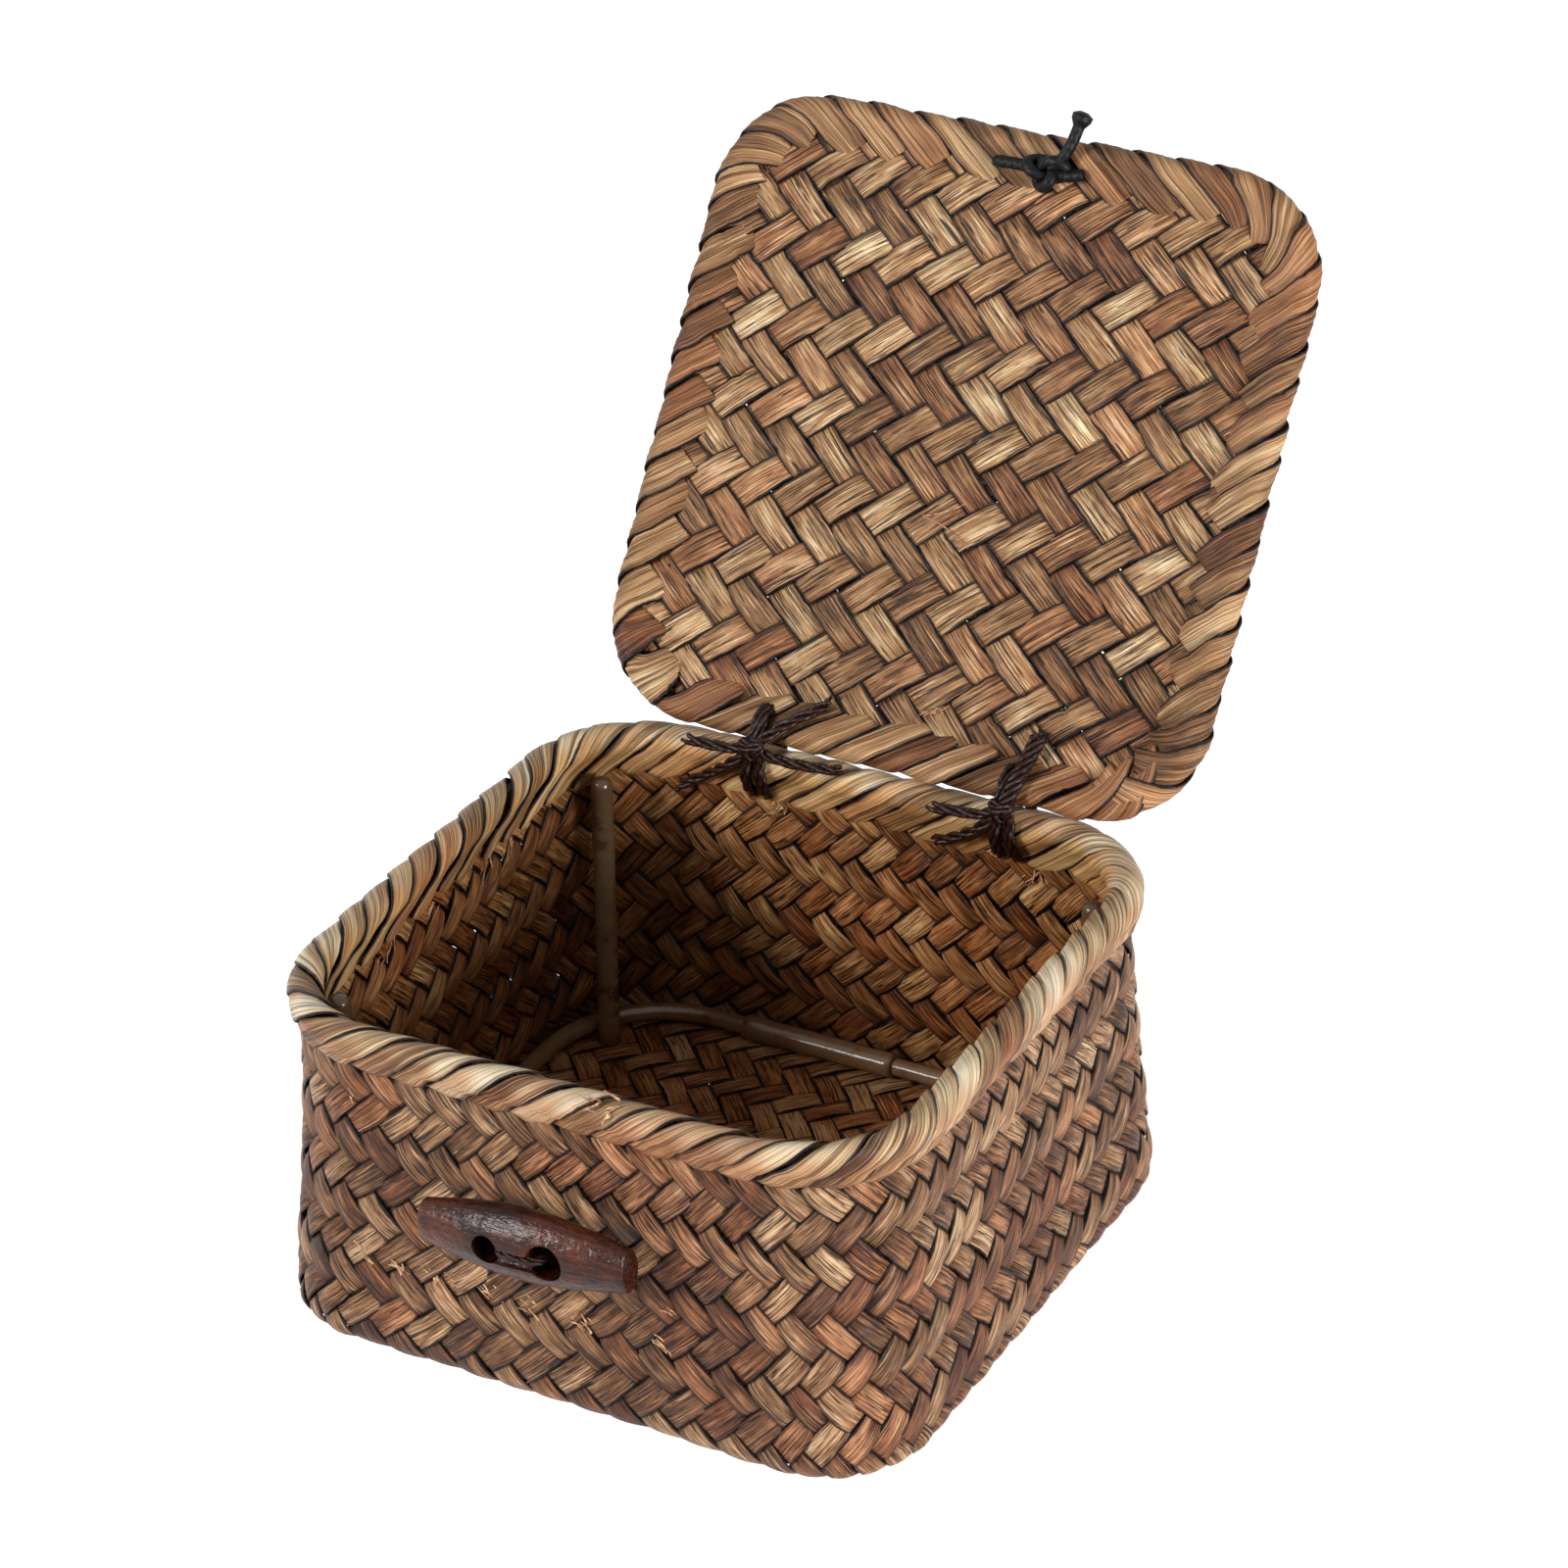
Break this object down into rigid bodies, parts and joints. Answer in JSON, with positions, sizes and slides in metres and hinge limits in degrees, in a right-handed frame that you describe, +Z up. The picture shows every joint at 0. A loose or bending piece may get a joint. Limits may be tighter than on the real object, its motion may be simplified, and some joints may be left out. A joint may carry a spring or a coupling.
{
  "type": "woven lidded box",
  "caption": "Small square box plaited from dyed plant strips over a rod frame, with a lid tied on by cords, a wooden toggle and an elastic loop to close it.",
  "frame": {"origin": "on the surface the box stands on, under the middle of its rim", "axes": "+Z up, +Y towards the hinge side, -Y towards the toggle, +X to the right seen from the toggle side"},
  "size_m": [0.1499, 0.2323, 0.2069],
  "materials": {
    "plait": "dyed dry plant strip, satin",
    "rolled_edge": "dyed dry plant strip, satin, paler",
    "rod": "semi-gloss, stained by the dye",
    "toggle_wood": "dark lacquered wood",
    "waxed_cord": "waxed twisted thread",
    "elastic": "braided cover, matt"
  },
  "bodies": {
    "basket": {"basket_weave": "plait", "rim_binding": "rolled_edge", "rim_hoop": "rod", "base_hoop": "rod", "base_hoop_sleeve": "rod", "post_front_left": "rod", "post_front_right": "rod", "post_back_left": "rod", "post_back_right": "rod", "left_hinge_tie": "waxed_cord", "right_hinge_tie": "waxed_cord"},
    "lid": {"lid_weave": "plait", "lid_binding": "rolled_edge", "lid_hoop": "rod", "left_tie_lid_tail": "waxed_cord", "right_tie_lid_tail": "waxed_cord", "closure_knot": "elastic", "closure_tail": "elastic"},
    "closure_loop": {"closure_loop": "elastic"},
    "toggle": {"toggle": "toggle_wood", "toggle_cord": "waxed_cord"}
  },
  "joints": [
    {"name": "lid_hinge", "type": "hinge", "parent": "basket", "child": "lid", "pos_m": [0.0015, 0.0702, 0.0816], "axis": [1, 0, 0], "range_deg": [0, 123], "deforming": ["closure_tail"]},
    {"name": "loop_swing", "type": "hinge", "parent": "lid", "child": "closure_loop", "pos_m": [0.0015, 0.14447, 0.191], "axis": [1, 0, 0], "range_deg": [-30, 100]},
    {"name": "toggle_swivel", "type": "hinge", "parent": "basket", "child": "toggle", "pos_m": [-0.0012, -0.079, 0.0449], "axis": [0, 1, 0], "range_deg": [-35, 35]}
  ]
}
